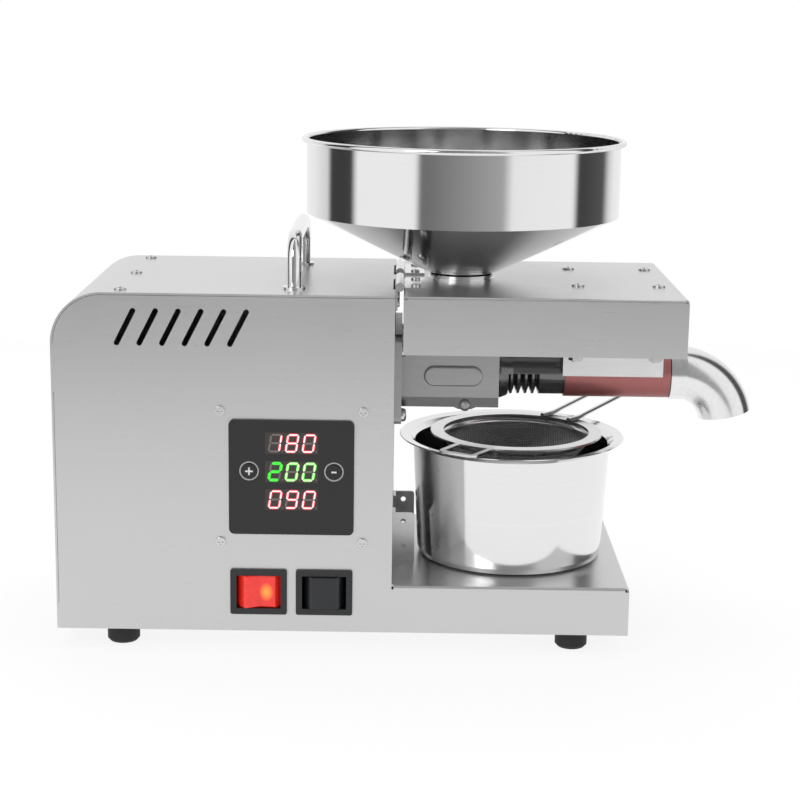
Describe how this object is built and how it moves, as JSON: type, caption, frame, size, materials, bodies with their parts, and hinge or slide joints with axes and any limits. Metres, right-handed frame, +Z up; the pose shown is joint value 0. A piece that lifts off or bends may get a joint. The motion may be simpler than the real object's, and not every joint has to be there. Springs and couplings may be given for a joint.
{
  "type": "screw oil press",
  "caption": "Table-top screw oil press: steel body with display and rockers, hinged press cover, lift-off hopper, heated barrel with cake spout, and an oil pot with sieve.",
  "frame": {"origin": "on the table, under the middle of the whole press's bounding box", "axes": "+X from the motor end towards the cake spout, along the press screw; +Y from the control panel to the back; +Z up"},
  "size_m": [0.3911, 0.1818, 0.2782],
  "materials": {
    "body_steel": "satin brushed sheet",
    "polished_steel": "mirror polished, spun",
    "chrome_bar": "bright chrome",
    "screw_steel": "zinc plated",
    "hinge_steel": "polished leaf",
    "head_steel": "grey machined",
    "dark_steel": "oiled dark steel",
    "screw_tool_steel": "hardened",
    "heater_rose": "rose anodised",
    "shield_bright": "bright plate",
    "sieve_steel": "bright",
    "sieve_weave": "woven wire",
    "gearbox_metal": "die cast",
    "motor_black": "black paint",
    "display_black": "gloss black",
    "window_dark": "smoked lens with lit digits",
    "button_rubber": "moulded key",
    "switch_black": "moulded black",
    "rocker_red": "lit translucent red",
    "board_green": "circuit board",
    "foot_rubber": "matt rubber"
  },
  "bodies": {
    "root": {"front_panel": "body_steel", "rear_panel": "body_steel", "end_vent_panel": "body_steel", "top_wrap": "body_steel", "bearing_wall": "body_steel", "bottom_plate": "body_steel", "base_tray": "body_steel", "tray_brackets": "body_steel", "cake_spout": "polished_steel", "carry_handle": "chrome_bar", "handle_nuts": "chrome_bar", "casing_screws": "screw_steel", "head_bolts": "screw_steel", "foot_screws": "screw_steel", "motor_studs": "screw_steel", "board_spacers": "screw_steel", "inlet_pins": "screw_steel", "hinge_body_leaves": "hinge_steel", "hinge_pins": "hinge_steel", "head_flange": "head_steel", "chamber_housing": "head_steel", "feed_chamber": "head_steel", "chamber_bolt": "head_steel", "press_barrel": "dark_steel", "chamber_base": "dark_steel", "gear_bearings": "screw_tool_steel", "heater_sleeve": "heater_rose", "gearbox_case": "gearbox_metal", "gearbox_lid": "gearbox_metal", "motor_cradle": "gearbox_metal", "motor_housing": "motor_black", "display_panel": "display_black", "display_windows": "window_dark", "power_switch_body": "switch_black", "motor_switch_body": "switch_black", "fan_frame": "switch_black", "power_inlet": "switch_black", "control_board": "board_green", "rubber_feet": "foot_rubber"},
    "cover": {"press_cover": "body_steel", "hinge_cover_leaves": "hinge_steel", "hinge_cover_screws": "screw_steel", "cover_screws": "screw_steel", "shield_nuts": "screw_steel", "heat_shield": "shield_bright"},
    "hopper": {"hopper": "polished_steel", "hopper_collar": "polished_steel"},
    "power_rocker": {"power_rocker": "rocker_red"},
    "motor_rocker": {"motor_rocker": "switch_black"},
    "plus_button": {"plus_button": "button_rubber"},
    "minus_button": {"minus_button": "button_rubber"},
    "press_screw": {"press_screw": "screw_tool_steel", "output_gear": "screw_tool_steel"},
    "idler_gear": {"idler_gear": "screw_tool_steel"},
    "motor_rotor": {"motor_rotor": "screw_tool_steel"},
    "fan_rotor": {"fan_rotor": "switch_black"},
    "pot": {"oil_pot": "polished_steel"},
    "sieve": {"sieve_ring": "sieve_steel", "sieve_mesh": "sieve_weave", "sieve_handle": "sieve_steel"}
  },
  "joints": [
    {"name": "cover_hinge", "type": "hinge", "parent": "root", "child": "cover", "pos_m": [-0.00816, 0, 0.2002], "axis": [0, -1, 0], "range_deg": [0, 90]},
    {"name": "hopper_lift", "type": "slide", "parent": "cover", "child": "hopper", "axis": [0, 0, 1], "range_m": [0, 0.2]},
    {"name": "power_rock", "type": "hinge", "parent": "root", "child": "power_rocker", "pos_m": [-0.08351, -0.066, 0.0338], "axis": [0, 0, 1], "range_deg": [-16, 0]},
    {"name": "motor_rock", "type": "hinge", "parent": "root", "child": "motor_rocker", "pos_m": [-0.04751, -0.066, 0.0338], "axis": [0, 0, 1], "range_deg": [-8, 8]},
    {"name": "plus_press", "type": "slide", "parent": "root", "child": "plus_button", "axis": [0, 1, 0], "range_m": [0, 0.0006], "stiffness_N_per_m": 600},
    {"name": "minus_press", "type": "slide", "parent": "root", "child": "minus_button", "axis": [0, 1, 0], "range_m": [0, 0.0006], "stiffness_N_per_m": 600},
    {"name": "screw_spin", "type": "hinge", "parent": "root", "child": "press_screw", "pos_m": [-0.01046, 0, 0.146], "axis": [1, 0, 0], "continuous": true},
    {"name": "idler_spin", "type": "hinge", "parent": "root", "child": "idler_gear", "pos_m": [-0.01046, 0, 0.1085], "axis": [1, 0, 0], "continuous": true},
    {"name": "motor_spin", "type": "hinge", "parent": "root", "child": "motor_rotor", "pos_m": [-0.01046, 0, 0.0725], "axis": [1, 0, 0], "continuous": true},
    {"name": "fan_spin", "type": "hinge", "parent": "root", "child": "fan_rotor", "pos_m": [-0.19496, 0, 0.084], "axis": [1, 0, 0], "continuous": true},
    {"name": "pot_slide", "type": "slide", "parent": "root", "child": "pot", "axis": [0, -1, 0], "range_m": [0, 0.2]},
    {"name": "sieve_lift", "type": "slide", "parent": "pot", "child": "sieve", "axis": [0, 0, 1], "range_m": [0, 0.012]}
  ],
  "couplings": [
    {"joint": "hopper_lift", "follows": "cover_hinge", "m_per_rad": 0.12732},
    {"joint": "idler_spin", "follows": "screw_spin", "ratio": -4},
    {"joint": "motor_spin", "follows": "screw_spin", "ratio": 20},
    {"joint": "sieve_lift", "follows": "pot_slide", "ratio": 0.06}
  ]
}
